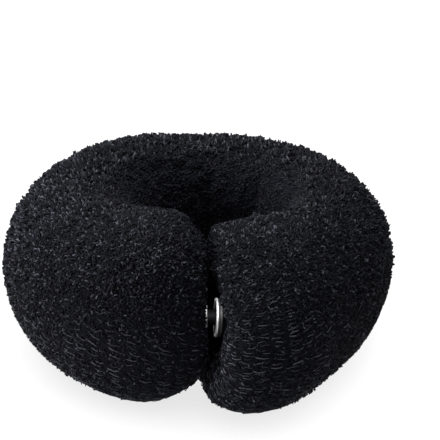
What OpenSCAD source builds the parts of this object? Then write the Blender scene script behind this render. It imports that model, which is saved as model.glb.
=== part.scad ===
// Hair donut bun maker: a foam roll in a knitted terry sleeve, closed into a ring by a press stud.
// The ring lies flat, +Z is up, and its two ends meet at the front, on -Y. All sizes are in millimetres.

/* [Roll] */
// Length of the roll when it is unsnapped and laid straight
roll_length = 170; // [155:1:230]
// Thickness of the closed ring between its hole and its outside
roll_width = 39; // [30:0.5:42]
// Height of the closed ring
roll_height = 43.5; // [34:0.5:50]
// How far the foam gives where it rests
rest_flat = 1.2; // [0.8:0.1:1.8]
// Fullness of the roll's section, where 2 is an ellipse and more is squarer
section_fullness = 2.1; // [1.9:0.1:2.8]
// Share of the roll's half width that is left of it towards the hole, on the left of the ring
left_hollow = 0.86; // [0.5:0.02:1]
// The same share on the right of the ring, where the bent foam is pressed flatter
right_hollow = 0.46; // [0.4:0.02:1]

/* [Ends] */
// Length over which the left end rounds off
left_round = 14; // [10:0.5:20]
// Length over which the right end rounds off
right_round = 15; // [10:0.5:20]
// How far both ends bulge towards the hole, as a share of the roll's half width
end_bulge = 0.84; // [0.8:0.02:1.1]
// Fullness of that bulge, where 2 is an ellipse and more is squarer
bulge_fullness = 3; // [2:0.1:3.2]
// How much fuller the right end's rounding is at its top on the side of the hole
right_shoulder = 1; // [0:0.1:1.4]
// How much slimmer it is at its bottom on the outside
right_foot = 0.25; // [0:0.05:0.6]
// Fullness of the rounded ends, where 2 is an ellipse and more is squarer
end_fullness = 2.2; // [1.8:0.1:3]
// Share of each end that turns in to the snap before the rounding starts
face_share = 0.4; // [0.3:0.05:0.6]
// Space between the two ends where they meet
end_gap = 0.3; // [0.2:0.1:1.2]
// Lean of the joint between the ends, in degrees, to the right at its top
joint_lean = 3; // [0:0.5:6]
// How far the joint lies to the right of the front, at its middle
joint_side = 1; // [-1:0.1:2]
// How far the snap sits outside the middle of the roll
joint_out = 1; // [-1:0.1:2]
// How far the joint curves to the left above the snap
bow_above = 3; // [0:0.1:4]
// How far the joint curves to the left below the snap
bow_below = 4; // [0:0.1:5]
// How far each end stands back in front of the snap
front_open = 1.9; // [0:0.1:3]
// Depth of the gathers that run out from the snap to the front
gather_depth = 0.6; // [0:0.1:0.9]

/* [Sleeve] */
// Thickness of the knitted terry sleeve
sleeve_wall = 2; // [1:0.1:2.6]
// Space between the sleeve and the foam
foam_gap = 0.25; // [0.1:0.05:0.4]
// Depth of the deepest crease round the hole
crease_depth = 1.6; // [0:0.1:2.4]

/* [Snap] */
// Diameter of both halves of the snap
snap_d = 9; // [8.5:0.5:13]
// Thickness of the stud's rolled rim
stud_rim = 0.5; // [0.4:0.05:0.8]
// Thickness of the socket
socket_t = 1.6; // [1.5:0.1:2.4]
// Thickness of the socket's rolled front rim
socket_rim = 0.7; // [0.6:0.02:0.9]
// Space between the two halves when they are snapped together
snap_gap = 2; // [0.8:0.1:2.4]
// Diameter of the stud's head
head_d = 4.2; // [3.6:0.1:5]
// Thickness of the stud's head
head_t = 0.7; // [0.5:0.05:0.75]
// How far the head stands out round its neck
head_step = 0.35; // [0.25:0.05:0.4]
// Thickness of the lip that the head snaps behind
lip_t = 0.4; // [0.3:0.05:0.5]
// How far the closed snap sits towards the right end
snap_shift = 0.15; // [-0.5:0.05:0.8]
// Diameter of the posts that hold the snap on
post_d = 2; // [1.6:0.1:2.2]
// Diameter of each post's head, inside the sleeve
post_head_d = 7; // [5.5:0.5:9]
// Thickness of each post's head
post_head_t = 0.6; // [0.4:0.1:1]
// Clearance round metal that fits in metal
snap_clearance = 0.15; // [0.1:0.05:0.2]
// Clearance between the snap's parts and the cloth or foam they are set in
seat_clearance = 0.1; // [0.05:0.05:0.3]
// Width of the cloth that is pressed flat round each half of the snap
seat_margin = 0.45; // [0.3:0.05:0.8]
// Clearance round each post where it goes through the cloth
hole_clearance = 0.4; // [0.1:0.1:0.8]
// Width of the groove between the socket's two rims
rim_groove = 0.2; // [0.1:0.05:0.3]

/* [Hidden] */
$fn = 72;

// Points round the roll, rings over one end's face and rounding, and rings along the rest
around = 24;
face_rings = 6;
round_rings = 6;
body_rings = 44;
// How many gathers run out from the snap, all round it
gathers = 8;

// Colours
sleeve_colour = [0.06, 0.06, 0.07];
foam_colour = [0.12, 0.12, 0.13];
metal_colour = [0.78, 0.79, 0.8];

// Evenly spaced sections from the left end, round the back, to the right end.
// width and height are shares of the roll's, out of the ring's radius and lift of the roll's height.
// [width, height, out, lift]
sections = [
    [0.79, 1.13, -0.028, 0.045],
    [0.86, 1.1, -0.017, 0.030],
    [0.93, 1.07, -0.006, 0.018],
    [0.975, 1.04, 0.010, 0.015],
    [1.01, 1.01, 0.026, 0.015],
    [1.02, 1.005, 0.018, 0.010],
    [1.03, 1, 0.006, 0.005],
    [1.02, 0.97, 0.002, 0.004],
    [1.01, 0.94, -0.001, 0.005],
    [1, 0.95, 0.002, 0.005],
    [1, 0.97, 0.006, 0.006],
    [1, 0.985, 0.005, 0.011],
    [0.99, 1, 0.002, 0.014],
    [0.945, 1.01, -0.028, 0.011],
    [0.94, 1.02, -0.022, 0.007],
    [1.04, 1.035, 0.062, 0.006],
    [1.08, 1.05, 0.108, 0.005]
];
// Creases of the bent foam on the side of the hole.
// place is the share of the way round, depth of the deepest crease, spread of the roll's length
// [place, depth, spread]
creases = [
    [0.30, 0.7, 0.020],
    [0.41, 0.8, 0.018],
    [0.52, 1.0, 0.018],
    [0.63, 0.9, 0.019],
    [0.74, 0.6, 0.020]
];
// How far round the ring the joint's lean and its bow die away, in degrees
lean_reach = 52;
bow_reach = 31;
// Shares of the roll's half height above and below the snap between which the joint bows
bow_start = 0.2;
bow_end = 1.1;
// Share of the way round where the left half's width towards the hole starts to go over into the right
// half's, and over how much of the way that happens
hollow_from = 0.17;
hollow_span = 0.66;
// How far round the ring the ends bulge towards the hole, and over how much of it that ends, as shares
left_lobe = 0.11;
right_lobe = 0.095;
lobe_span = 0.08;
// The ends stay apart furthest this many degrees up from level, and the power with which that fades
open_rise = 26;
open_fade = 2;
// Where round the section the right end is fullest, in degrees up from its outside, and the power with
// which that fades
shoulder_at = 120;
shoulder_fade = 2;
// The power with which the creases fade away from the side of the hole
crease_fade = 2;
// Share of each end's face and rounding that the gathers run over
gather_reach = 0.8;
// Height of the snap as a share of the roll's
joint_height = 0.54;

ring_r = roll_length / 360 * (180 / PI);
snap_r = snap_d / 2;
seat_r = snap_r + seat_margin;
hole_r = post_d / 2 + hole_clearance;
bore_r = post_d / 2 + snap_clearance / 3;
snap_stack = stud_rim + snap_gap + socket_t;
stud_back = snap_shift - snap_stack / 2;
socket_back = stud_back + snap_stack;
left_seat = seat_clearance - stud_back;
right_seat = seat_clearance + socket_back;
core_inset = sleeve_wall + foam_gap;
head_r = head_d / 2;
neck_r = head_r - head_step;
post_head_r = post_head_d / 2;

function mix(a, b, t) = a + (b - a) * t;
function clamp(t) = max(0, min(1, t));
function ease(t) = t * t * (3 - 2 * t);
function unit(v) = v / norm(v);
function power(x, e) = sign(x) * pow(abs(x), e);

// One column of the sections at the share w of the way round, on a smooth curve through the rows
function section(column, w) =
    let (
        last = len(sections) - 1,
        x = clamp(w) * last,
        i = min(floor(x), last - 1),
        t = x - i,
        b = sections[i][column],
        c = sections[i + 1][column],
        a = i > 0 ? sections[i - 1][column] : 2 * b - c,
        d = i < last - 1 ? sections[i + 2][column] : 2 * c - b
    )
    b + ((c - a) * t + (2 * a - 5 * b + 4 * c - d) * t * t + (3 * b - a - 3 * c + d) * t * t * t) / 2;

function half_width(w) = roll_width / 2 * section(0, w);
function half_height(w) = roll_height / 2 * section(1, w);
function centre_radius(w) = ring_r * (1 + section(2, w));
function centre_height(w) = half_height(w) - rest_flat + roll_height * section(3, w);

joint_z = joint_height * roll_height;
joint_axis = [cos(joint_lean), 0, -sin(joint_lean)];
front_joint = [joint_side, -ring_r - joint_out, joint_z];

// Rings as [share of the way round, reach, innermost radius], where the reach goes from 0 at the snap's
// seat to 1 at the full section
function end_rings(seat, rounding) = concat(
    [[seat, 0, hole_r]],
    [for (k = [0 : face_rings - 1])
        let (t = k / face_rings)
        [mix(seat, end_gap / 2, ease(t)), face_share * t, seat_r]],
    [for (k = [0 : round_rings])
        let (u = sin(90 * k / round_rings))
        [
            end_gap / 2 + rounding * (1 - pow(1 - pow(u, end_fullness), 1 / end_fullness)),
            mix(face_share, 1, u),
            seat_r
        ]]
);

function rings() =
    let (
        left = end_rings(left_seat, left_round),
        right = end_rings(right_seat, right_round),
        first = end_gap / 2 + left_round,
        last = roll_length - end_gap / 2 - right_round
    )
    concat(
        [for (r = left) [r[0] / roll_length, r[1], r[2]]],
        [for (k = [1 : body_rings]) [mix(first, last, k / (body_rings + 1)) / roll_length, 1, seat_r]],
        [for (k = [len(right) - 1 : -1 : 0]) [1 - right[k][0] / roll_length, right[k][1], right[k][2]]]
    );

// Goes from 1 where an end bulges towards the hole to 0 past that
function bulging(w) = 1 - ease(clamp((min(w, 1 - w) - (w < 0.5 ? left_lobe : right_lobe)) / lobe_span));

// What is left of the roll's half width towards the hole, as a share
function hole_side(w) =
    let (change = ease(clamp((w - hollow_from) / hollow_span)))
    mix(mix(left_hollow, right_hollow, change), end_bulge, bulging(w));

function crease_at(w) = crease_depth * max([
    for (c = creases) c[1] * exp(-pow((w - c[0]) / c[2], 2))
]);

// The points of one ring of the sleeve's outer skin
function ring_points(ring) =
    let (
        w = ring[0],
        reach = ring[1],
        left = w < 0.5,
        from_joint = min(w, 1 - w),
        way = 360 * w,
        turn = (left ? 1 : -1) * 360 * from_joint * reach,
        lean = joint_lean * mix(1, exp(-pow(360 * from_joint / lean_reach, 2)), reach),
        outward = [-sin(turn), -cos(turn), 0],
        along = [cos(turn), -sin(turn), 0],
        upward = sin(lean) * along + cos(lean) * [0, 0, 1],
        at_joint = front_joint + (left ? -1 : 1) * from_joint * roll_length * joint_axis,
        at_ring = [-centre_radius(w) * sin(way), -centre_radius(w) * cos(way), centre_height(w)],
        centre = mix(at_joint, at_ring, reach),
        width = mix(ring[2], half_width(w), reach),
        inner = width * mix(1, hole_side(w), reach),
        squarer = mix(section_fullness, bulge_fullness, bulging(w) * reach),
        height = mix(ring[2], half_height(w), reach),
        bowing = exp(-pow(360 * from_joint / bow_reach, 2)),
        held = ease(reach < face_share ? reach / face_share : (1 - reach) / (1 - face_share)),
        gather = gather_depth * sin(180 * min(1, reach / gather_reach)),
        turning = left ? 0 : reach * (1 - reach)
    )
    [for (k = [0 : around - 1])
        let (
            a = 360 * k / around,
            fold = crease_at(w) * reach * pow(max(0, -cos(a)), crease_fade),
            opening = front_open * held * pow(max(0, cos(a - open_rise)), open_fade),
            gathered = gather * (0.5 - 0.5 * cos(gathers * a)) * (0.5 + 0.5 * cos(a)),
            tuck = (left ? -1 : 1) * (gathered + opening),
            inside = cos(a) < 0,
            fullness = inside ? squarer : section_fullness,
            facing = cos(a - shoulder_at),
            wider = 1 + turning * (facing > 0 ? right_shoulder : right_foot) * power(facing, shoulder_fade),
            across = wider * (inside ? inner : width) * power(cos(a), 2 / fullness) + fold,
            rise = wider * height * power(sin(a), 2 / fullness),
            p = centre + across * outward + rise * upward + tuck * along,
            above = (p[2] - joint_z) / roll_height * 2,
            bent = ease(clamp((abs(above) - bow_start) / (bow_end - bow_start))),
            side = reach * joint_side - bent * (above > 0 ? bow_above : bow_below)
        )
        [p[0] + bowing * side, p[1], max(0, p[2])]
    ];

// The skin stands with the middle of its footprint on the origin
loose_skin = [for (r = rings()) ring_points(r)];
middle = [for (axis = [0, 1])
    let (places = [for (r = loose_skin) for (p = r) p[axis]])
    (min(places) + max(places)) / 2
];
skin = [for (r = loose_skin) [for (p = r) p - [middle[0], middle[1], 0]]];
joint_centre = front_joint - [middle[0], middle[1], 0];
last_ring = len(skin) - 1;

// The outward direction at each point of the skin
function out_of_skin(i, k) =
    let (
        before = skin[max(i - 1, 0)][k],
        after = skin[min(i + 1, last_ring)][k],
        one = skin[i][(k + around - 1) % around],
        other = skin[i][(k + 1) % around],
        end_face = i == 0 ? joint_axis : -joint_axis
    )
    i == 0 || i == last_ring ? end_face : unit(cross(other - one, after - before));

function inset_skin(depth) = [
    for (i = [0 : last_ring]) [for (k = [0 : around - 1]) skin[i][k] - depth * out_of_skin(i, k)]
];

function flatten(rows) = [for (row = rows) for (p = row) p];

// Triangles between the rings of one skin, whose points start at the given number
function skin_faces(start, inside) = [
    for (i = [0 : last_ring - 1]) for (k = [0 : around - 1])
        let (
            n = (k + 1) % around,
            a = start + i * around + k,
            b = start + i * around + n,
            c = a + around,
            d = b + around
        )
        for (f = inside ? [[a, b, c], [b, d, c]] : [[a, c, b], [b, c, d]]) f
];

// Triangles that close the rim between one ring of the outer skin and the same ring of the inner one
function rim_faces(outer, inner, flip) = [
    for (k = [0 : around - 1])
        let (n = (k + 1) % around, a = outer + k, b = outer + n, c = inner + k, d = inner + n)
        for (f = flip ? [[a, c, b], [b, c, d]] : [[a, b, c], [b, d, c]]) f
];

module at_joint() {
    translate(joint_centre) rotate([0, 90 + joint_lean, 0]) children();
}

module disc(radius, from, to) {
    translate([0, from]) square([radius, to - from]);
}

// A round bead along a disc's edge
module rim(radius, from, to) {
    translate([radius - (to - from) / 2, (from + to) / 2]) circle(d = to - from, $fn = 24);
}

// A disc with a rounded edge
module round_disc(radius, from, to) {
    disc(radius - (to - from) / 2, from, to);
    rim(radius, from, to);
}

module foam_core() {
    points = flatten(inset_skin(core_inset));
    ends = [
        [for (k = [around - 1 : -1 : 0]) k],
        [for (k = [0 : around - 1]) last_ring * around + k]
    ];
    pocket_r = post_head_r + 2 * seat_clearance;
    pocket_t = post_head_t + 2 * seat_clearance + foam_gap;
    color(foam_colour) difference() {
        polyhedron(points, concat(skin_faces(0, false), ends), convexity = 8);
        at_joint() {
            translate([0, 0, foam_gap - left_seat - core_inset - pocket_t]) cylinder(pocket_t, r = pocket_r);
            translate([0, 0, right_seat + core_inset - foam_gap]) cylinder(pocket_t, r = pocket_r);
        }
    }
}

module knit_sleeve() {
    points = concat(flatten(skin), flatten(inset_skin(sleeve_wall)));
    inner = (last_ring + 1) * around;
    end = last_ring * around;
    color(sleeve_colour) polyhedron(
        points,
        concat(
            skin_faces(0, false),
            skin_faces(inner, true),
            rim_faces(0, inner, false),
            rim_faces(end, inner + end, true)
        ),
        convexity = 8
    );
}

module snap_stud() {
    web_t = 0.7 * stud_rim;
    head_z = stud_rim + snap_gap + lip_t;
    color(metal_colour) at_joint() translate([0, 0, stud_back]) rotate_extrude() difference() {
        union() {
            disc(snap_r - stud_rim / 2, 0, web_t);
            rim(snap_r, 0, stud_rim);
            disc(neck_r, 0, head_z + head_t);
            round_disc(head_r, head_z, head_z + head_t);
        }
        disc(bore_r, -1, head_z);
    }
}

module stud_post() {
    head_z = -left_seat - sleeve_wall - seat_clearance - post_head_t;
    tip_z = stud_back + stud_rim + snap_gap + lip_t - snap_clearance;
    color(metal_colour) at_joint() rotate_extrude() {
        round_disc(post_head_r, head_z, head_z + post_head_t);
        disc(post_d / 2, head_z, tip_z);
    }
}

module snap_socket() {
    chamber_z = lip_t + head_t + snap_clearance;
    groove_z = socket_rim + rim_groove;
    color(metal_colour) at_joint() {
        translate([0, 0, socket_back - socket_t]) rotate_extrude() difference() {
            union() {
                disc(snap_r - socket_rim / 2, 0, socket_t);
                rim(snap_r, 0, socket_rim);
                rim(snap_r, groove_z, socket_t);
            }
            disc(neck_r + snap_clearance, -1, chamber_z);
            disc(head_r + snap_clearance, lip_t, chamber_z);
            disc(bore_r, 0, socket_t + 1);
        }
    }
}

module socket_post() {
    head_z = right_seat + sleeve_wall + seat_clearance;
    tip_z = socket_back - socket_t + lip_t + head_t + 2 * snap_clearance;
    color(metal_colour) at_joint() rotate_extrude() {
        round_disc(post_head_r, head_z, head_z + post_head_t);
        disc(post_d / 2, tip_z, head_z + post_head_t);
    }
}

foam_core();
knit_sleeve();
snap_stud();
stud_post();
snap_socket();
socket_post();
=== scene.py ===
import bisect
import math
import random

import bpy
from mathutils import Euler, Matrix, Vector, noise


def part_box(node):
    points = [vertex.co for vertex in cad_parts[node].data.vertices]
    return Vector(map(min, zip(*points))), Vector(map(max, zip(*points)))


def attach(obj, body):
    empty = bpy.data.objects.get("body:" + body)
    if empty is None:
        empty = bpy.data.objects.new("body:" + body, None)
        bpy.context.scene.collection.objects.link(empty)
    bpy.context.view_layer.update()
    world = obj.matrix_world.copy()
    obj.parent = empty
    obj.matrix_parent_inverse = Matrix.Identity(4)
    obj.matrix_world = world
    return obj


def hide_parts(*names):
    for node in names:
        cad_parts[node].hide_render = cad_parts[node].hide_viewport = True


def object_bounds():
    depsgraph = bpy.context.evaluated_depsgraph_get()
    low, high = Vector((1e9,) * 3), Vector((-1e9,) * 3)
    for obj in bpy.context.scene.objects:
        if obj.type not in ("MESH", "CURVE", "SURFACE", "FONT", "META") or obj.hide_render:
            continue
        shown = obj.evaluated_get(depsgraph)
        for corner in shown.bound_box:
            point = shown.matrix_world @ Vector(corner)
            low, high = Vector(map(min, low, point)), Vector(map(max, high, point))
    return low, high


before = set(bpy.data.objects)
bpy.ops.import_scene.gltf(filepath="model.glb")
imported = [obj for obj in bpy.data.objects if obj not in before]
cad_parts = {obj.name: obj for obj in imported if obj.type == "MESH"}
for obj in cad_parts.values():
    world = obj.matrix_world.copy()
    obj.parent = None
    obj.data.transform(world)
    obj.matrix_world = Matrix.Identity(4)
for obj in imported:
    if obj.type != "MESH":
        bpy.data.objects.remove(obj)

mm = 0.001
cadLow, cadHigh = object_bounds()
scene = bpy.context.scene
print("Frame loaded:", ", ".join(sorted(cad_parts)))


# Node trees

class Wire:  # a node's output, so that maths on it reads as maths
    def __init__(self, plan, socket):
        self.plan = plan
        self.socket = socket

    def other(self, name):  # another output of the same node
        return Wire(self.plan, pick(self.socket.node.outputs, name))

    def __add__(self, value):
        return self.plan.maths("ADD", self, value)

    def __radd__(self, value):
        return self.plan.maths("ADD", value, self)

    def __sub__(self, value):
        return self.plan.maths("SUBTRACT", self, value)

    def __rsub__(self, value):
        return self.plan.maths("SUBTRACT", value, self)

    def __mul__(self, value):
        return self.plan.maths("MULTIPLY", self, value)

    def __rmul__(self, value):
        return self.plan.maths("MULTIPLY", value, self)

    def __pow__(self, value):
        return self.plan.maths("POWER", self, value)


class Plan:  # a node tree that is being built
    def __init__(self, tree):
        self.tree = tree

    def add(self, kind, settings=None, sockets=None, output=0):
        node = self.tree.nodes.new(kind)
        for name, value in (settings or {}).items():
            setattr(node, name, value)
        for name, value in (sockets or {}).items():
            socket = pick(node.inputs, name)
            for one in value if isinstance(value, list) else [value]:  # a list links several
                if isinstance(one, Wire):
                    self.tree.links.new(one.socket, socket)
                else:
                    socket.default_value = one
        return Wire(self, pick(node.outputs, output)) if node.outputs else None

    def maths(self, operation, *values):
        return self.add("ShaderNodeMath", {"operation": operation}, dict(enumerate(values)))

    def vectors(self, operation, *values, output="Vector"):
        settings = {"operation": operation}
        return self.add("ShaderNodeVectorMath", settings, dict(enumerate(values)), output)


def pick(sockets, name):
    if isinstance(name, int):
        return sockets[name]
    return next(s for s in sockets if s.name == name and s.enabled)


def rising(plan, value, low, high):  # 0 up to the low value and 1 from the high one on
    return plan.add(
        "ShaderNodeMapRange",
        {"interpolation_type": "SMOOTHSTEP"},
        {"Value": value, "From Min": low, "From Max": high},
    )


def grain(plan, place, size, detail=2.0, output="Fac"):  # noise of about this size
    sockets = {"Vector": place, "Scale": 1 / size, "Detail": detail}
    return plan.add("ShaderNodeTexNoise", sockets=sockets, output=output)


# The roll: the same shape as the solid's, from the same sizes

roll = {
    "length": 170 * mm,
    "width": 39 * mm,
    "height": 43.5 * mm,
    "flat": 1.2 * mm,  # how much of the underside is pressed level
    "fullness": 2.1,  # 2 makes the section an ellipse, and more makes it squarer
    "leftHollow": 0.86,  # how wide the section is towards the hole, as a share of its outer side
    "rightHollow": 0.46,
    "hollowFrom": 0.17,  # where the left one starts to turn into the right one, as a share of the length
    "hollowSpan": 0.66,
    "endBulge": 0.84,  # the same share where the ends bulge
    "bulgeFullness": 3,
    "leftLobe": 0.11,  # how far from the joint the ends bulge, as a share of the length
    "rightLobe": 0.095,
    "lobeSpan": 0.08,
    "shoulder": 1,  # how much fuller the right end's rounding is at its shoulder, and leaner at its foot
    "foot": 0.25,
    "shoulderAt": math.radians(120),
    "shoulderFade": 2,
    "leftRound": 14 * mm,  # how far along the roll its ends are rounded
    "rightRound": 15 * mm,
    "endFullness": 2.2,
    "faceShare": 0.4,  # how much of the reach lies on an end's flat face
    "endGap": 0.3 * mm,
    "lean": math.radians(3),  # of the joint's axis, down to the right
    "leanReach": math.radians(52),
    "side": 1 * mm,  # the joint lies this far to the right, and this far out from the ring's circle
    "out": 1 * mm,
    "jointHeight": 0.54,  # as a share of the roll's height
    "bowAbove": 3 * mm,  # how far the joint bows to the left, above and below its middle
    "bowBelow": 4 * mm,
    "bowReach": math.radians(31),
    "bowStart": 0.2,
    "bowEnd": 1.1,
    "open": 1.9 * mm,  # how far each end stands open at the front
    "openRise": math.radians(26),
    "openFade": 2,
    "gathers": 8,  # folds round the snap
    "gatherDepth": 0.6 * mm,
    "gatherReach": 0.8,
    "creaseDepth": 1.6 * mm,  # of the deepest crease on the side of the hole
    "creaseFade": 2,
    "leftSeat": 2 * mm,  # how far from the joint the snap's halves sit
    "rightSeat": 2.3 * mm,
    "seatRadius": 4.95 * mm,
    "holeRadius": 1.4 * mm,
}

# Sections at even steps from the left end, round the back, to the right end, as shares:
# width, height, out from the ring's radius, lift
sections = [
    (0.79, 1.13, -0.028, 0.045),
    (0.86, 1.1, -0.017, 0.030),
    (0.93, 1.07, -0.006, 0.018),
    (0.975, 1.04, 0.010, 0.015),
    (1.01, 1.01, 0.026, 0.015),
    (1.02, 1.005, 0.018, 0.010),
    (1.03, 1, 0.006, 0.005),
    (1.02, 0.97, 0.002, 0.004),
    (1.01, 0.94, -0.001, 0.005),
    (1, 0.95, 0.002, 0.005),
    (1, 0.97, 0.006, 0.006),
    (1, 0.985, 0.005, 0.011),
    (0.99, 1, 0.002, 0.014),
    (0.945, 1.01, -0.028, 0.011),
    (0.94, 1.02, -0.022, 0.007),
    (1.04, 1.035, 0.062, 0.006),
    (1.08, 1.05, 0.108, 0.005),
]
widths, heights, outs, lifts = zip(*sections)

# Each crease's place along the roll, depth and spread, as shares
creases = [
    (0.30, 0.7, 0.020),
    (0.41, 0.8, 0.018),
    (0.52, 1.0, 0.018),
    (0.63, 0.9, 0.019),
    (0.74, 0.6, 0.020),
]

ringRadius = roll["length"] / (2 * math.pi)
jointZ = roll["jointHeight"] * roll["height"]
jointPlace = Vector((roll["side"], -ringRadius - roll["out"], jointZ))
jointAxis = Vector((math.cos(roll["lean"]), 0, -math.sin(roll["lean"])))


def mix(a, b, t):
    return a + (b - a) * t


def ease(t):
    t = min(max(t, 0), 1)
    return t * t * (3 - 2 * t)


def bell(x):
    return math.exp(-x * x)


def power(x, exponent):
    return math.copysign(abs(x) ** exponent, x)


def curveAt(values, share):
    # A smooth curve through values that stand at even steps
    last = len(values) - 1
    x = min(max(share, 0), 1) * last
    i = min(int(x), last - 1)
    t = x - i
    b, c = values[i], values[i + 1]
    a = values[i - 1] if i > 0 else 2 * b - c
    d = values[i + 2] if i < last - 1 else 2 * c - b
    cubic = (3 * b - a - 3 * c + d) * t ** 3
    return b + ((c - a) * t + (2 * a - 5 * b + 4 * c - d) * t * t + cubic) / 2


def endRings(seat, rounding, faceSteps, roundSteps):
    # (distance from the joint, reach, innermost radius), from the snap's seat out to the full section
    face, halfGap = roll["faceShare"], roll["endGap"] / 2
    rings = [(seat, 0, roll["holeRadius"])]
    for k in range(faceSteps):
        t = k / faceSteps
        rings.append((mix(seat, halfGap, ease(t)), face * t, roll["seatRadius"]))
    for k in range(roundSteps + 1):
        u = math.sin(math.pi / 2 * k / roundSteps)
        depth = rounding * (1 - (1 - u ** roll["endFullness"]) ** (1 / roll["endFullness"]))
        rings.append((halfGap + depth, mix(face, 1, u), roll["seatRadius"]))
    return rings


def allRings(faceSteps, roundSteps, bodySteps):
    # (share of the length, reach, innermost radius), from the left end's seat to the right end's
    length = roll["length"]
    left = endRings(roll["leftSeat"], roll["leftRound"], faceSteps, roundSteps)
    right = endRings(roll["rightSeat"], roll["rightRound"], faceSteps, roundSteps)
    first, last = left[-1][0], length - right[-1][0]
    body = [
        (mix(first, last, k / (bodySteps + 1)), 1, roll["seatRadius"])
        for k in range(1, bodySteps + 1)
    ]
    rings = left + body + [(length - depth, reach, inner) for depth, reach, inner in reversed(right)]
    return [(depth / length, reach, inner) for depth, reach, inner in rings]


def ringPoints(share, reach, inner, around):
    # The reach is 0 on the snap's seat and 1 at the full section
    left = share < 0.5
    sign = -1 if left else 1
    fromJoint = min(share, 1 - share)
    way = 2 * math.pi * share
    angleOut = 2 * math.pi * fromJoint

    # The ring faces as the joint does on the seat, and turns with the roll further out
    turn = -sign * angleOut * reach
    lean = roll["lean"] * mix(1, bell(angleOut / roll["leanReach"]), reach)
    outward = Vector((-math.sin(turn), -math.cos(turn), 0))
    along = Vector((math.cos(turn), -math.sin(turn), 0))
    upward = math.sin(lean) * along + math.cos(lean) * Vector((0, 0, 1))

    # Its middle and its size go from the seat's to the full section's
    radius = ringRadius * (1 + curveAt(outs, share))
    halfWidth = roll["width"] / 2 * curveAt(widths, share)
    halfHeight = roll["height"] / 2 * curveAt(heights, share)
    level = halfHeight - roll["flat"] + roll["height"] * curveAt(lifts, share)
    atJoint = jointPlace + sign * fromJoint * roll["length"] * jointAxis
    atRing = Vector((-radius * math.sin(way), -radius * math.cos(way), level))
    centre = atJoint.lerp(atRing, reach)
    width, height = mix(inner, halfWidth, reach), mix(inner, halfHeight, reach)

    # How strongly each feature shows on this ring
    bulging = 1 - ease((fromJoint - roll["leftLobe" if left else "rightLobe"]) / roll["lobeSpan"])
    hollowing = ease((share - roll["hollowFrom"]) / roll["hollowSpan"])
    hollow = mix(roll["leftHollow"], roll["rightHollow"], hollowing)
    holeSide = mix(1, mix(hollow, roll["endBulge"], bulging), reach)
    squarer = mix(roll["fullness"], roll["bulgeFullness"], bulging * reach)
    bowing = bell(angleOut / roll["bowReach"])
    face = roll["faceShare"]
    held = ease(reach / face if reach < face else (1 - reach) / (1 - face))
    turning = 0 if left else reach * (1 - reach)
    gather = roll["gatherDepth"] * math.sin(math.pi * min(1, reach / roll["gatherReach"]))
    creasing = max(depth * bell((share - at) / spread) for at, depth, spread in creases)
    crease = roll["creaseDepth"] * creasing

    points = []
    for j in range(around):
        angle = 2 * math.pi * j / around
        c, s = math.cos(angle), math.sin(angle)
        fold = crease * reach * max(0, -c) ** roll["creaseFade"]
        opening = roll["open"] * held * max(0, math.cos(angle - roll["openRise"])) ** roll["openFade"]
        gathered = gather * (0.5 - 0.5 * math.cos(roll["gathers"] * angle)) * (0.5 + 0.5 * c)
        tuck = sign * (gathered + opening)
        fullness = squarer if c < 0 else roll["fullness"]
        facing = math.cos(angle - roll["shoulderAt"])
        fuller = roll["shoulder" if facing > 0 else "foot"] * power(facing, roll["shoulderFade"])
        wider = 1 + turning * fuller
        across = wider * width * (holeSide if c < 0 else 1) * power(c, 2 / fullness) + fold
        rise = wider * height * power(s, 2 / fullness)
        p = centre + across * outward + rise * upward + tuck * along
        above = (p.z - jointZ) / roll["height"] * 2
        bent = ease((abs(above) - roll["bowStart"]) / (roll["bowEnd"] - roll["bowStart"]))
        bow = roll["bowAbove"] if above > 0 else roll["bowBelow"]
        p.x += bowing * (reach * roll["side"] - bent * bow)
        p.z = max(0, p.z)
        points.append(p)
    return points


def skin(rings, around):
    # Rings of points, with the middle of their box over the origin, and the way out at each point
    points = [ringPoints(*ring, around) for ring in rings]
    xs = [p.x for ring in points for p in ring]
    ys = [p.y for ring in points for p in ring]
    middle = Vector(((min(xs) + max(xs)) / 2, (min(ys) + max(ys)) / 2, 0))
    points = [[p - middle for p in ring] for ring in points]
    normals = []
    for i, ring in enumerate(points):
        before, after = points[max(0, i - 1)], points[min(len(points) - 1, i + 1)]
        normals.append([
            (ring[(j + 1) % around] - ring[j - 1]).cross(after[j] - before[j]).normalized()
            for j in range(around)
        ])
    return points, normals


def moved(points, normals, distance):
    return [[p + n * distance for p, n in zip(ring, out)] for ring, out in zip(points, normals)]


def meshOf(name, loops, joined=False, capped=False):
    # One mesh from loops of points, each joined to the next. The last is joined to the first, or
    # both get a cap, or they stay open
    around = len(loops[0])
    vertices = [p for loop in loops for p in loop]
    faces = []
    for i in range(len(loops) if joined else len(loops) - 1):
        here, there = i * around, (i + 1) % len(loops) * around
        for j in range(around):
            k = (j + 1) % around
            faces.append((here + j, here + k, there + k, there + j))
    if capped:
        faces.append(tuple(reversed(range(around))))
        faces.append(tuple(range(len(vertices) - around, len(vertices))))
    mesh = bpy.data.meshes.new(name)
    mesh.from_pydata(vertices, [], faces)
    mesh.shade_smooth()
    return mesh


def placed(name, mesh):
    piece = bpy.data.objects.new(name, mesh)
    scene.collection.objects.link(piece)
    return piece


def store(mesh, names, rows):
    # The mesh's attributes, from a row of numbers and vectors for each of its points
    for name, values in zip(names, zip(*rows)):
        if isinstance(values[0], Vector):
            data = mesh.attributes.new(name, "FLOAT_VECTOR", "POINT").data
            data.foreach_set("vector", [x for vector in values for x in vector])
        else:
            data = mesh.attributes.new(name, "FLOAT", "POINT").data
            data.foreach_set("value", values)


# Camera

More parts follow.
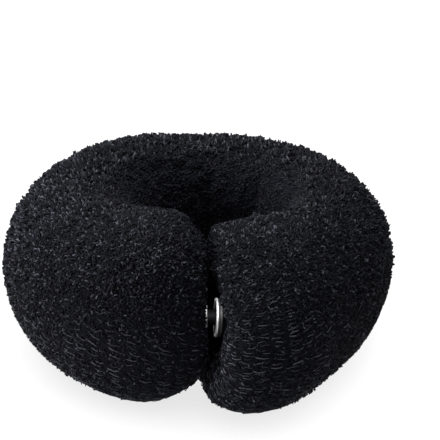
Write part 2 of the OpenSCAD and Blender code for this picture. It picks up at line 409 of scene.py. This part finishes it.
view = {
    "target": Vector((0, 0, 21 * mm)),
    "distance": 420 * mm,
    "azimuth": math.radians(3.06),
    "elevation": math.radians(30.94),
    "focal": 1735.8,  # in pixels
    "picture": 440,
    "sensor": 36,  # in millimetres
    "targetX": 199.2,  # the pixel where the target shows
    "targetY": 264.1,
    "near": 0.01,
    "far": 20,
}


def makeCamera():
    data = bpy.data.cameras.new("camera")
    camera = bpy.data.objects.new("camera", data)
    scene.collection.objects.link(camera)
    data.sensor_width = view["sensor"]
    data.lens = view["focal"] / view["picture"] * view["sensor"]
    data.clip_start, data.clip_end = view["near"], view["far"]
    azimuth, elevation = view["azimuth"], view["elevation"]
    level = math.cos(elevation)
    back = Vector((-level * math.sin(azimuth), -level * math.cos(azimuth), math.sin(elevation)))
    camera.location = view["target"] + back * view["distance"]
    middle = view["picture"] / 2
    pitch = math.atan((view["targetY"] - middle) / view["focal"])
    yaw = math.atan((view["targetX"] - middle) / view["focal"])
    aim = (-back).to_track_quat("-Z", "Y")
    camera.rotation_mode = "QUATERNION"
    camera.rotation_quaternion = aim @ Euler((pitch, yaw, 0)).to_quaternion()
    scene.camera = camera


makeCamera()
print("Camera placed")


# Knitted cover

cover = {
    "around": 108,
    "faceSteps": 10,
    "roundSteps": 24,
    "bodySteps": 200,
    "innerFaceSteps": 6,
    "innerRoundSteps": 6,
    "innerBodySteps": 44,
    "wall": 2 * mm,
    "inset": 0.3 * mm,  # the loops stand on the knitted ground and make up for this
    "offFloor": 0.05 * mm,
    "columns": 88,
    "rows": 98,
    "ladderRows": 134,  # the rows stand closer together on the right end
    "ladderFrom": 0.84,
    "lumpSize": 5 * mm,
    "lumpDepth": 0.12 * mm,
    "knobSize": 2.2 * mm,
    "knobDepth": 0.62 * mm,
    "tidyKnobs": 0.9,  # how much of the knobs the tidy rows of stitches take away
    "puckers": 26,
    "puckerDepth": 0.3 * mm,
    "puckerReach": 0.9,
    "flatReach": 0.22,  # round the snap the ends are flat
    "flatFade": 0.25,
    "reliefReach": 0.3,
    "tidyBelow": 25 * mm,  # the rows show up to this level at the front, and it falls to the back
    "looseAbove": 41 * mm,  # and from this level up the loops hide them
    "tidyFall": 0.35,
    "tidyRise": 8 * mm,  # the level is higher on the front of the right end
    "tidyMiddle": 12 * mm,
    "tidySpan": 9 * mm,
    "tidyFade": 25 * mm,
    "tuftFront": 0.2,  # how high the tufts are at the front, of what they are at the back
    "tuftFade": 24 * mm,
    "tuftFrom": 9 * mm,  # the level where they start, and how much higher they are full
    "tuftSpan": 12 * mm,
    "tuftInset": 0.5 * mm,  # how much deeper the ground lies under them
}


def stitchPlaces(points):
    # How far along the roll each ring lies, as a share, measured on the cloth
    places = [0]
    for before, after in zip(points, points[1:]):
        steps = [(b - a).length for a, b in zip(before, after)]
        places.append(places[-1] + sum(steps) / len(steps))
    return [p / places[-1] for p in places]


def tidyAt(point):
    # 1 where the stitches lie in tidy rows, and 0 where loops hide them
    level = point.z + cover["tidyFall"] * (point.y - cadLow.y)
    onRight = bell((point.x - cover["tidyMiddle"]) / cover["tidySpan"])
    level -= cover["tidyRise"] * onRight * ease(-point.y / cover["tidyFade"])
    return 1 - ease((level - cover["tidyBelow"]) / (cover["looseAbove"] - cover["tidyBelow"]))


def standAt(point):
    # How much the loops stand up in tufts: most at the back and not at all low down
    back = ease((point.y + cover["tuftFade"]) / cover["tuftFade"])
    high = ease((point.z - cover["tuftFrom"]) / cover["tuftSpan"])
    return mix(cover["tuftFront"], 1, back) * high * (1 - tidyAt(point))


def puckerAt(place, reach, angle):
    # The puckers of one end lie in those of the other, and the ends touch where they meet
    rise = math.sin(math.pi * min(1, reach / cover["puckerReach"]))
    pucker = cover["puckerDepth"] * rise * math.sin(cover["puckers"] * angle)
    return pucker * (1 if place < 0.5 else -1) * ease((reach - cover["flatReach"]) / cover["flatFade"])


def knitRelief(point, place, reach, angle):
    # How far the knitted ground rises from the plain roll
    loose = 1 - cover["tidyKnobs"] * tidyAt(point)
    lump = cover["lumpDepth"] * noise.noise(point / cover["lumpSize"])
    knob = cover["knobDepth"] * loose * noise.noise(point / cover["knobSize"])
    inset = cover["inset"] + cover["tuftInset"] * standAt(point)
    relief = ease((reach - roll["faceShare"]) / cover["reliefReach"]) * (lump + knob - inset)
    return relief + puckerAt(place, reach, angle)


def makeGround():
    rings = allRings(cover["faceSteps"], cover["roundSteps"], cover["bodySteps"])
    points, normals = skin(rings, cover["around"])
    places = stitchPlaces(points)
    angles = [2 * math.pi * j / cover["around"] for j in range(cover["around"])]
    ground = [
        [p + n * knitRelief(p, place, ring[1], angle) for p, n, angle in zip(row, out, angles)]
        for row, out, place, ring in zip(points, normals, places, rings)
    ]
    for row in ground:
        for p in row:
            p.z = max(p.z, cover["offFloor"])
    return rings, places, ground, normals


def makeCover(ground):
    rings = allRings(cover["innerFaceSteps"], cover["innerRoundSteps"], cover["innerBodySteps"])
    points, normals = skin(rings, cover["around"])
    inside = moved(points, normals, -cover["wall"])
    return placed("knit_cover", meshOf("knit_cover", ground + inside[::-1], joined=True))


rings, places, ground, outward = makeGround()
knitCover = makeCover(ground)
print("Cover:", len(knitCover.data.polygons), "faces")


# Snap: its halves stay as they are, and the yarn keeps clear of them

snapMiddles = [sum(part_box(name), Vector()) / 2 for name in ("snap_stud", "snap_socket")]

snap = {
    "centre": sum(snapMiddles, Vector()) / 2,
    "flat": 7.5 * mm,  # no yarn stands within this radius, this far to either side of the centre
    "deep": 4.8 * mm,
    "flatFade": 1.5 * mm,
}


def clearAt(point):
    # 0 where the cloth is pressed flat round the snap, and 1 past that
    offset = point - snap["centre"]
    aside, away = offset.cross(jointAxis).length, abs(offset.dot(jointAxis))
    return ease((max(aside - snap["flat"], away - snap["deep"])) / snap["flatFade"])


# Yarn: the rungs of the knit, and the terry loops over them

yarn = {
    "thickness": 0.28 * mm,
    "sides": 3,
    "wobble": 0.2 * mm,
    "wobbleSize": 1.1 * mm,
    "offFloor": 0.03 * mm,
    "calmShade": 0.745,  # the one shade in the hole, and of loose rungs
    "underFrom": 0.45,  # how much the cloth faces down where it starts to count as the underside
    "underSpan": 0.3,
}

rungs = {
    # How far each kind of rung bends, in degrees, its length and height, and its steps
    "kinds": ((10, 1, 1, 2), (30, 1, 1, 2), (60, 1, 1, 3), (90, 1, 1, 3)),
    "length": 1.35 * mm,
    "height": 0.32 * mm,
    "sink": 0.08 * mm,
    "pitch": 1.9 * mm,  # the width of a stitch where a rung has its plain length
    "looseLength": 0.55,
    "jitter": 0.25,  # how far a rung strays from its row and column
    "edge": 0.001,  # and how near to the ends it may come, as a share of the length
    "spin": math.radians(80),  # the most that a loose rung is turned
    "tidySpin": math.radians(12),
    "slope": math.radians(-18),  # how far the tidy rows' stitches lean on the left end
    "slopeTo": 0.5,  # the share of the length from which they no longer lean
    "slopeRise": 3,
    "skipped": 0.06,  # share of them left out
    "holeReach": 0.9,  # past this reach none are made on the side of the hole
    "holeSide": -0.45,  # the cosine of the angle round the roll where that side starts
    "tilt": math.radians(12),
    "sizes": (0.6, 1.2),
    "shades": (0.85, 1.09),
    "flipped": 0.25,
    "underRise": 0.4,
    "seed": 3,
}

loops = {
    "kinds": (  # the same four values for each
        (40, 0.85, 0.9, 2),
        (80, 1, 1, 2),
        (120, 1, 1.1, 2),
        (160, 1.25, 1.2, 2),
        (230, 1.8, 1.4, 3),
    ),
    "length": 0.62 * mm,
    "height": 0.38 * mm,
    "sink": 0.08 * mm,
    "perArea": 3.45 / mm ** 2,
    "tidyShare": 0.42,  # how many there are among the tidy rows, under the roll and in the hole
    "underShare": 0,
    "holeShare": 0.7,
    "tilt": math.radians(22),
    "sizes": (0.85, 1.2),
    "ribs": 98,  # along the whole roll, in the loops' tone
    "ribbed": (0.15, 0.5),  # the shares of the length where they start and where they are full
    "ribTone": 0.08,
    "tuftSize": 1.8 * mm,
    "tufted": (0.44, 0.6),  # the noise where a tuft starts and where it is full
    "tuftRise": 1.6,  # how much taller and wider the loops are in a tuft, at the back
    "tuftWidth": 0.3,
    "shades": (0.0, 1.0),
    "seed": 11,
    "sectors": {  # each piece's part of the roll, as shares of the length
        "terry_left_front": (0, 0.2),
        "terry_left": (0.2, 0.4),
        "terry_back": (0.4, 0.6),
        "terry_right": (0.6, 0.8),
        "terry_right_front": (0.8, 1.01),
    },
}

# What is added to the seed, so that each random value is drawn by itself
draws = {"spin": 0, "kind": 1, "shade": 2, "turn": 4, "tip": 5, "size": 7, "flip": 9}

yarnInputs = {
    "Thickness": "Float",
    "Length": "Float",
    "Height": "Float",
    "Sink": "Float",
    "Wobble": "Float",
    "Material": "Material",
    "Seed": "Int",
}


def yarnSizes(style, material):
    return {
        "Thickness": yarn["thickness"],
        "Length": style["length"],
        "Height": style["height"],
        "Sink": style["sink"],
        "Wobble": yarn["wobble"],
        "Material": material,
        "Seed": style["seed"],
    }


def newTree(name, inputs):
    tree = bpy.data.node_groups.new(name, "GeometryNodeTree")
    tree.is_modifier = True
    tree.interface.new_socket("Geometry", in_out="OUTPUT", socket_type="NodeSocketGeometry")
    tree.interface.new_socket("Geometry", in_out="INPUT", socket_type="NodeSocketGeometry")
    for label, kind in inputs.items():
        tree.interface.new_socket(label, in_out="INPUT", socket_type="NodeSocket" + kind)
    plan = Plan(tree)
    given = plan.add("NodeGroupInput")
    return plan, given.other


def chance(plan, given, draw, low, high, kind="FLOAT"):
    return plan.add(
        "FunctionNodeRandomValue",
        {"data_type": kind},
        {"Min": low, "Max": high, "Seed": given("Seed") + draws[draw]},
        "Value",
    )


def attribute(plan, name, kind="FLOAT"):
    return plan.add("GeometryNodeInputNamedAttribute", {"data_type": kind}, {"Name": name}, "Attribute")


def turned(plan, rotation, angles):  # about its own axes
    turn = plan.add("FunctionNodeEulerToRotation", sockets={"Euler": angles}, output="Rotation")
    return plan.add(
        "FunctionNodeRotateRotation",
        {"rotation_space": "LOCAL"},
        {"Rotation": rotation, "Rotate By": turn},
        "Rotation",
    )


def strands(plan, given, style):
    # One short tube for each kind: an arc that lifts off the ground and comes down again
    tubes = []
    profile = plan.add(
        "GeometryNodeCurvePrimitiveCircle",
        sockets={"Resolution": yarn["sides"], "Radius": given("Thickness") * 0.5},
        output="Curve",
    )
    for degrees, length, height, steps in style["kinds"]:
        sweep = math.radians(degrees)
        radius = given("Length") * (length / sweep)
        arc = plan.add(
            "GeometryNodeCurveArc",
            sockets={
                "Resolution": steps + 1,
                "Radius": radius,
                "Start Angle": (math.pi - sweep) / 2,
                "Sweep Angle": sweep,
            },
            output="Curve",
        )
        share = plan.add("GeometryNodeSplineParameter", output="Factor")
        lift = plan.maths("SINE", share * math.pi) * given("Height") * height - given("Sink")
        middle = 0 - radius * (math.sin(sweep / 2) / (sweep / 2))  # puts the arc's middle over its spot
        offset = plan.add("ShaderNodeCombineXYZ", sockets={"Y": middle, "Z": lift})
        lifted = plan.add("GeometryNodeSetPosition", sockets={"Geometry": arc, "Offset": offset})
        tube = plan.add(
            "GeometryNodeCurveToMesh",
            sockets={"Curve": lifted, "Profile Curve": profile, "Fill Caps": True},
        )
        tubes.append(plan.add("GeometryNodeGeometryToInstance", sockets={"Geometry": tube}))
    return plan.add("GeometryNodeJoinGeometry", sockets={"Geometry": tubes[::-1]})


def stirred(plan, wobble):
    # Every point's place, moved by a smooth noise and kept off the floor
    place = plan.add("GeometryNodeInputPosition")
    stir = grain(plan, place, yarn["wobbleSize"], detail=1.0, output="Color")
    stir = plan.vectors("SUBTRACT", stir, (0.5, 0.5, 0.5))  # the noise lies round a half
    sockets = {"Vector": stir, "Scale": wobble * 2}
    stir = plan.add("ShaderNodeVectorMath", {"operation": "SCALE"}, sockets, "Vector")
    lowest = (-1, -1, yarn["offFloor"])  # this only holds the height
    return plan.vectors("MAXIMUM", plan.vectors("ADD", place, stir), lowest)


def finishYarn(plan, given, style, points, rotation, scale, tone=1):
    # Tubes on the points, each with its own kind and shade
    made = plan.add(
        "GeometryNodeInstanceOnPoints",
        sockets={
            "Points": points,
            "Instance": strands(plan, given, style),
            "Pick Instance": True,
            "Instance Index": chance(plan, given, "kind", 0, len(style["kinds"]) - 1, "INT"),
            "Rotation": rotation,
            "Scale": scale,
        },
    )
    calm = attribute(plan, "calm")
    shade = chance(plan, given, "shade", *style["shades"]) * (1 - calm) + calm * yarn["calmShade"]
    made = plan.add(
        "GeometryNodeStoreNamedAttribute",
        {"data_type": "FLOAT", "domain": "INSTANCE"},
        {"Geometry": made, "Name": "shade", "Value": shade * tone},
    )
    made = plan.add("GeometryNodeRealizeInstances", sockets={"Geometry": made})
    place = stirred(plan, given("Wobble"))
    made = plan.add("GeometryNodeSetPosition", sockets={"Geometry": made, "Position": place})
    made = plan.add("GeometryNodeSetShadeSmooth", sockets={"Geometry": made})
    made = plan.add("GeometryNodeRealizeInstances", sockets={"Geometry": made})
    made = plan.add("GeometryNodeSetMaterial", sockets={"Geometry": made, "Material": given("Material")})
    plan.add("NodeGroupOutput", sockets={"Geometry": made})


def rungTree():
    plan, given = newTree("Knit rungs", yarnInputs)
    upright = plan.add(
        "FunctionNodeAxesToRotation",
        {"primary_axis": "Z", "secondary_axis": "X"},
        {
            "Primary Axis": attribute(plan, "facing", "FLOAT_VECTOR"),
            "Secondary Axis": attribute(plan, "along", "FLOAT_VECTOR"),
        },
        "Rotation",
    )
    tidy, rise = attribute(plan, "tidy"), attribute(plan, "rise")
    most = rungs["tidySpin"] + (1 - tidy) * (rungs["spin"] - rungs["tidySpin"])
    spin = chance(plan, given, "spin", -1.0, 1.0) * most + attribute(plan, "slope")
    flip = plan.maths("LESS_THAN", chance(plan, given, "flip", 0.0, 1.0), rungs["flipped"])
    tip = chance(plan, given, "tip", -rungs["tilt"], rungs["tilt"]) * rise
    angles = plan.add("ShaderNodeCombineXYZ", sockets={"X": tip, "Z": spin + flip * math.pi})
    size = chance(plan, given, "size", *rungs["sizes"])
    scale = plan.add(
        "ShaderNodeCombineXYZ",
        sockets={"X": size * attribute(plan, "stretch"), "Y": size, "Z": size * rise},
    )
    finishYarn(plan, given, rungs, given("Geometry"), turned(plan, upright, angles), scale)
    return plan.tree


def loopTree():
    inputs = {**yarnInputs, "Per Area": "Float", "From": "Float", "To": "Float"}
    plan, given = newTree("Terry loops", inputs)
    share = attribute(plan, "place")
    before = plan.maths("LESS_THAN", share, given("From"))
    inside = plan.maths("LESS_THAN", share, given("To")) * (1 - before)
    points = plan.add(
        "GeometryNodeDistributePointsOnFaces",
        {"distribute_method": "RANDOM"},
        {
            "Mesh": given("Geometry"),
            "Density": given("Per Area") * attribute(plan, "amount") * inside,
            "Seed": given("Seed"),
        },
        "Points",
    )
    most = Vector((loops["tilt"], loops["tilt"], math.pi))
    rotation = turned(
        plan, points.other("Rotation"), chance(plan, given, "turn", -most, most, "FLOAT_VECTOR")
    )
    size = chance(plan, given, "size", *loops["sizes"])
    tufts = grain(plan, plan.add("GeometryNodeInputPosition"), loops["tuftSize"], detail=0.0)
    tuft = rising(plan, tufts, *loops["tufted"]) * attribute(plan, "stand")
    wide = size * (1 + tuft * loops["tuftWidth"])
    tall = size * (1 + tuft * loops["tuftRise"])
    scale = plan.add("ShaderNodeCombineXYZ", sockets={"X": wide, "Y": wide, "Z": tall})
    ribs = plan.maths("COSINE", share * (2 * math.pi * loops["ribs"]))
    ribs = ribs * rising(plan, share, *loops["ribbed"])
    finishYarn(plan, given, loops, points, rotation, scale, 1 + ribs * loops["ribTone"])
    return plan.tree


def grown(name, source, tree, values):
    # The tree's result on a source mesh, as a plain mesh piece
    host = placed(name + "_host", source)
    modifier = host.modifiers.new("yarn", "NODES")
    modifier.node_group = tree
    for item in tree.interface.items_tree:
        if item.in_out == "INPUT" and item.name in values:
            modifier[item.identifier] = values[item.name]
    host.update_tag()
    whole = host.evaluated_get(bpy.context.evaluated_depsgraph_get())
    mesh = bpy.data.meshes.new_from_object(whole)
    mesh.name = name
    bpy.data.objects.remove(host)
    return placed(name, mesh)


def underAt(normal):
    return ease((-normal.z - yarn["underFrom"]) / yarn["underSpan"])


def outerSkin():
    # The ground's outside, with how many loops stand at each point, where it is, and how they stand
    rows = []
    for place, row, out in zip(places, ground, outward):
        for p, n in zip(row, out):
            calm = ease(-(n.x * p.x + n.y * p.y) / math.hypot(p.x, p.y))  # 1 where it faces the hole
            amount = clearAt(p) * mix(1, loops["tidyShare"], tidyAt(p))
            amount *= mix(1, loops["underShare"], underAt(n)) * mix(1, loops["holeShare"], calm)
            rows.append((amount, place, calm, standAt(p) * (1 - calm)))
    mesh = meshOf("outer skin", ground)
    store(mesh, ("amount", "place", "calm", "stand"), rows)
    return mesh


def clothAt(place, turn):
    # A spot on the ground, its way out and its way along, how long the cloth would be if it ran
    # like this all along the roll, and whether the spot is on the side of the hole
    i = bisect.bisect_right(places, place) - 1
    span = places[i + 1] - places[i]
    t = (place - places[i]) / span
    j = int(turn) % cover["around"]
    k, u = (j + 1) % cover["around"], turn % 1
    before, after = (ground[n][j].lerp(ground[n][k], u) for n in (i, i + 1))
    step = after - before
    reach = mix(rings[i][1], rings[i + 1][1], t)
    side = math.cos(2 * math.pi * turn / cover["around"])
    hidden = reach > rungs["holeReach"] and side < rungs["holeSide"]
    return before.lerp(after, t), outward[i][j], step.normalized(), step.length / span, hidden


def stitchSpots():
    # Points at the crossings of the knit's rows and columns
    dice = random.Random(rungs["seed"])
    jitter, edge = rungs["jitter"], rungs["edge"]
    step = 1 / cover["columns"]
    spots, rows = [], []
    for column in range(cover["columns"]):
        across = cover["ladderRows" if column * step > cover["ladderFrom"] else "rows"]
        for row in range(across):
            place = min(max((column + dice.uniform(-jitter, jitter)) * step, edge), 1 - edge)
            turn = (row + column % 2 / 2 + dice.uniform(-jitter, jitter)) / across % 1 * cover["around"]
            spot, facing, along, length, hidden = clothAt(place, turn)
            onSnap = clearAt(spot) < 0.5
            if hidden or onSnap or dice.random() < rungs["skipped"]:
                continue
            tidy = tidyAt(spot)
            stretch = length * step / rungs["pitch"] * mix(rungs["looseLength"], 1, tidy)
            slope = rungs["slope"] * ease(rungs["slopeRise"] * (rungs["slopeTo"] - place)) * tidy
            rise = mix(1, rungs["underRise"], underAt(facing))
            spots.append(spot)
            rows.append((facing, along, stretch, tidy, slope, rise, 1 - tidy))
    mesh = bpy.data.meshes.new("stitches")
    mesh.from_pydata(spots, [], [])
    store(mesh, ("facing", "along", "stretch", "tidy", "slope", "rise", "calm"), rows)
    return mesh


def makeYarn(material):
    pieces = [grown("knit_rungs", stitchSpots(), rungTree(), yarnSizes(rungs, material))]
    tree, source = loopTree(), outerSkin()
    for name, (first, last) in loops["sectors"].items():
        values = {**yarnSizes(loops, material), "Per Area": loops["perArea"], "From": first, "To": last}
        pieces.append(grown(name, source, tree, values))
    for piece in pieces:
        print("Yarn:", piece.name, len(piece.data.polygons), "faces")
    return pieces


# Foam core

foam = {
    "around": 40,
    "faceSteps": 5,
    "roundSteps": 8,
    "bodySteps": 60,
    "inset": 2.25 * mm,
}


def makeFoam():
    rings = allRings(foam["faceSteps"], foam["roundSteps"], foam["bodySteps"])
    points, normals = skin(rings, foam["around"])
    inside = moved(points, normals, -foam["inset"])
    return placed("foam_roll", meshOf("foam_roll", inside, capped=True))


# Materials

def newMaterial(name):
    material = bpy.data.materials.new(name)
    material.use_nodes = True
    material.node_tree.nodes.clear()
    return material, Plan(material.node_tree)


def placeOn(plan):
    return plan.add("ShaderNodeTexCoord", output="Object")


def finishMaterial(plan, sockets):
    surface = plan.add("ShaderNodeBsdfPrincipled", sockets=sockets)
    plan.add("ShaderNodeOutputMaterial", sockets={"Surface": surface})


def blend(plan, amount, first, second):
    return plan.add(
        "ShaderNodeMix",
        {"data_type": "RGBA"},
        {"Factor": amount, "A": (*first, 1), "B": (*second, 1)},
        "Result",
    )


def raised(plan, height, distance, strength=1.0):
    return plan.add(
        "ShaderNodeBump", sockets={"Height": height, "Distance": distance, "Strength": strength}
    )


groundFinish = {
    "dark": (0.0009, 0.0010, 0.0020),
    "bright": (0.0088, 0.0091, 0.0124),
    "fibreSize": 0.35 * mm,
    "fibreTone": 2.4,
    "fibreDepth": 0.2 * mm,
    "fibreRelief": 0.8,
    "patchSize": 7 * mm,
    "patchTone": 0.3,
    "darker": 0.9,  # taken off the tones
    "roughness": 0.78,
    "patchRoughness": 0.2,
    "specular": 0.02,
}


def groundMaterial():
    finish = groundFinish
    material, plan = newMaterial("knit ground")
    place = placeOn(plan)
    fibres = grain(plan, place, finish["fibreSize"], detail=4.0)
    patches = grain(plan, place, finish["patchSize"])
    tone = fibres * finish["fibreTone"] + patches * finish["patchTone"] - finish["darker"]
    finishMaterial(plan, {
        "Base Color": blend(plan, tone, finish["dark"], finish["bright"]),
        "Roughness": finish["roughness"] + finish["patchRoughness"] * patches,
        "Normal": raised(plan, fibres, finish["fibreDepth"], finish["fibreRelief"]),
        "Specular IOR Level": finish["specular"],
    })
    return material


yarnFinish = {
    "dark": (0.0009, 0.0010, 0.0020),
    "bright": (0.063, 0.0645, 0.0805),
    "contrast": 7,  # the power of the shade, so that few strands are bright
    "paintedShadeSteps": ((0.28, cadLow.x, -12 * mm), (0.27, 15 * mm, cadHigh.x)),  # painted shade towards the right: how much, from where and to
    "fibreSize": 0.09 * mm,
    "fibreTone": 0.08,
    "fibreDepth": 0.05 * mm,
    "fibreRelief": 0.6,
    "patchSize": 9 * mm,
    "patchTone": 0.04,
    "darker": 0.02,
    "roughness": 0.45,
    "fibreRoughness": 0.3,
    "specular": 0.06,
    "tint": (0.9, 0.93, 1),
}


def yarnMaterial():
    # The yarn's colour carries painted light on the left, where the side lamp falls, and painted shade
    # towards the right
    finish = yarnFinish
    material, plan = newMaterial("terry yarn")
    place = placeOn(plan)
    shade = plan.add("ShaderNodeAttribute", {"attribute_name": "shade"}, output="Fac")
    fibres = grain(plan, place, finish["fibreSize"], detail=3.0)
    patches = grain(plan, place, finish["patchSize"])
    across = plan.add("ShaderNodeSeparateXYZ", sockets={"Vector": place})
    # painted light and shade: the bright strands are painted darker step by step from left to right
    paintedLightLeft = 1
    for much, start, end in finish["paintedShadeSteps"]:
        paintedLightLeft = paintedLightLeft - much * rising(plan, across, start, end)
    tone = shade ** finish["contrast"] * paintedLightLeft + fibres * finish["fibreTone"]
    tone = tone + patches * finish["patchTone"] - finish["darker"]
    finishMaterial(plan, {
        "Base Color": blend(plan, tone, finish["dark"], finish["bright"]),
        "Roughness": finish["roughness"] + finish["fibreRoughness"] * fibres,
        "Normal": raised(plan, fibres, finish["fibreDepth"], finish["fibreRelief"]),
        "Specular IOR Level": finish["specular"],
        "Specular Tint": (*finish["tint"], 1),
    })
    return material


foamFinish = {
    "dark": (0.010, 0.010, 0.011),
    "bright": (0.045, 0.045, 0.048),
    "cellSize": 0.6 * mm,
    "cellDepth": 0.3 * mm,
    "roughness": 0.85,
    "cellRoughness": 0.1,
    "specular": 0.2,
}


def foamMaterial():
    finish = foamFinish
    material, plan = newMaterial("open foam")
    sockets = {"Vector": placeOn(plan), "Scale": 1 / finish["cellSize"]}
    cells = plan.add("ShaderNodeTexVoronoi", sockets=sockets, output="Distance")
    finishMaterial(plan, {
        "Base Color": blend(plan, cells, finish["dark"], finish["bright"]),
        "Roughness": finish["roughness"] + finish["cellRoughness"] * cells,
        "Normal": raised(plan, cells, finish["cellDepth"]),
        "Specular IOR Level": finish["specular"],
    })
    return material


snapFinish = {
    # dark is the painted shade's colour, bright the nickel's
    "dark": (0.006, 0.006, 0.0066),
    "bright": (0.84, 0.84, 0.85),
    "shadeClear": (3.6 * mm, 4.2 * mm),  # the radius where the painted shade in the middle starts to give way to bright metal, and where it is gone
    "shadedBack": (0.42 * mm, 0.6 * mm),  # the same for the painted shade on the halves' backs, along the snap from its middle
    "socketBackShade": 0.94,
    "studBackShade": 0.72,
    "smearSize": 2.5 * mm,
    "scratchSize": 0.12 * mm,
    "scratchDepth": 0.01 * mm,
    "scratchRelief": 0.3,
    "roughness": 0.5,
    "rimRoughness": -0.1,
    "smearRoughness": 0.1,
    "scratchRoughness": 0.05,
}


def snapMaterial():
    # Bright nickel at the rims, with painted shade in the middle between the halves and on their backs
    finish = snapFinish
    material, plan = newMaterial("polished nickel")
    place = placeOn(plan)
    smear = grain(plan, place, finish["smearSize"])
    scratches = grain(plan, place, finish["scratchSize"], detail=3.0)
    offset = plan.vectors("SUBTRACT", place, snap["centre"])
    aside = plan.vectors("CROSS_PRODUCT", offset, jointAxis)
    along = plan.vectors("DOT_PRODUCT", offset, jointAxis, output="Value")
    shadeClear = rising(plan, plan.vectors("LENGTH", aside, output="Value"), *finish["shadeClear"])
    # painted shade on the socket's back bead and on the stud's rim
    socket = finish["socketBackShade"] * rising(plan, along, *finish["shadedBack"])
    stud = finish["studBackShade"] * rising(plan, 0 - along, *finish["shadedBack"])
    roughness = finish["roughness"] + finish["rimRoughness"] * shadeClear
    roughness = roughness + finish["smearRoughness"] * smear + finish["scratchRoughness"] * scratches
    finishMaterial(plan, {
        "Base Color": blend(plan, shadeClear * (1 - socket - stud), finish["dark"], finish["bright"]),
        "Roughness": roughness,
        "Normal": raised(plan, scratches, finish["scratchDepth"], finish["scratchRelief"]),
        "Metallic": 1.0,
    })
    return material


def dress(piece, material):
    piece.data.materials.clear()
    piece.data.materials.append(material)


yarnPieces = makeYarn(yarnMaterial())
foamRoll = makeFoam()
print("Foam:", len(foamRoll.data.polygons), "faces")
dress(knitCover, groundMaterial())
dress(foamRoll, foamMaterial())
nickel = snapMaterial()
for name in ("snap_stud", "stud_post", "snap_socket", "socket_post"):
    dress(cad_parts[name], nickel)
print("Materials set")


# Floor and light

studio = {
    "world": 0.43,
    "floorReach": 1.6,
    "floorColour": (0.9, 0.9, 0.9),
    "floorRoughness": 0.9,
    "floorSpecular": 0.1,
    # Each lamp's place, size and power, and what it lights
    "lamps": {
        "side": ((-0.85, -0.12, 0.36), 0.4, 13.8, "cloth"),
        "top": ((-0.02, 0.22, 0.97), 0.6, 20, "cloth"),
        "glint": ((-0.2, -0.2, 0.8), 0.8, 36, "snap"),
        "wash": ((0, 0, 1.5), 2.5, 42, "floor"),
    },
}


def floorMaterial():
    material, plan = newMaterial("pale floor")
    finishMaterial(plan, {
        "Base Color": (*studio["floorColour"], 1),
        "Roughness": studio["floorRoughness"],
        "Specular IOR Level": studio["floorSpecular"],
    })
    return material


def makeFloor():
    reach = studio["floorReach"]
    corners = [(-reach, -reach, 0), (reach, -reach, 0), (reach, reach, 0), (-reach, reach, 0)]
    mesh = bpy.data.meshes.new("floor")
    mesh.from_pydata(corners, [], [(0, 1, 2, 3)])
    floor = placed("floor", mesh)
    dress(floor, floorMaterial())
    return floor


def makeWorld():
    world = bpy.data.worlds.new("studio")
    world.use_nodes = True
    background = world.node_tree.nodes["Background"]
    background.inputs["Color"].default_value = (1, 1, 1, 1)
    background.inputs["Strength"].default_value = studio["world"]
    scene.world = world


def makeLamp(name, place, size, watts, lit, floor):
    # A cloth lamp falls on all but the floor. The others light one thing only, and cast no shadow
    data = bpy.data.lights.new(name, "AREA")
    data.shape = "SQUARE"
    data.size, data.energy = size, watts
    data.use_shadow = lit == "cloth"
    lamp = bpy.data.objects.new(name, data)
    lamp.location = place
    lamp.rotation_mode = "QUATERNION"
    lamp.rotation_quaternion = (view["target"] - Vector(place)).to_track_quat("-Z", "Y")
    scene.collection.objects.link(lamp)
    group = bpy.data.collections.new(name + "_group")
    metal = [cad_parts["snap_stud"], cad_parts["snap_socket"]]
    for piece in metal if lit == "snap" else [floor]:
        group.objects.link(piece)
    lamp.light_linking.receiver_collection = group
    for member in group.collection_objects:
        member.light_linking.link_state = "EXCLUDE" if lit == "cloth" else "INCLUDE"


def makeStudio():
    floor = makeFloor()
    makeWorld()
    for name, lamp in studio["lamps"].items():
        makeLamp(name, *lamp, floor)
    scene.view_settings.view_transform = "Standard"


makeStudio()
print("Studio lit")


# What rides on what

for piece in [knitCover, foamRoll, *yarnPieces]:
    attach(piece, "root")
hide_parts("knit_sleeve")
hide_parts("foam_core")
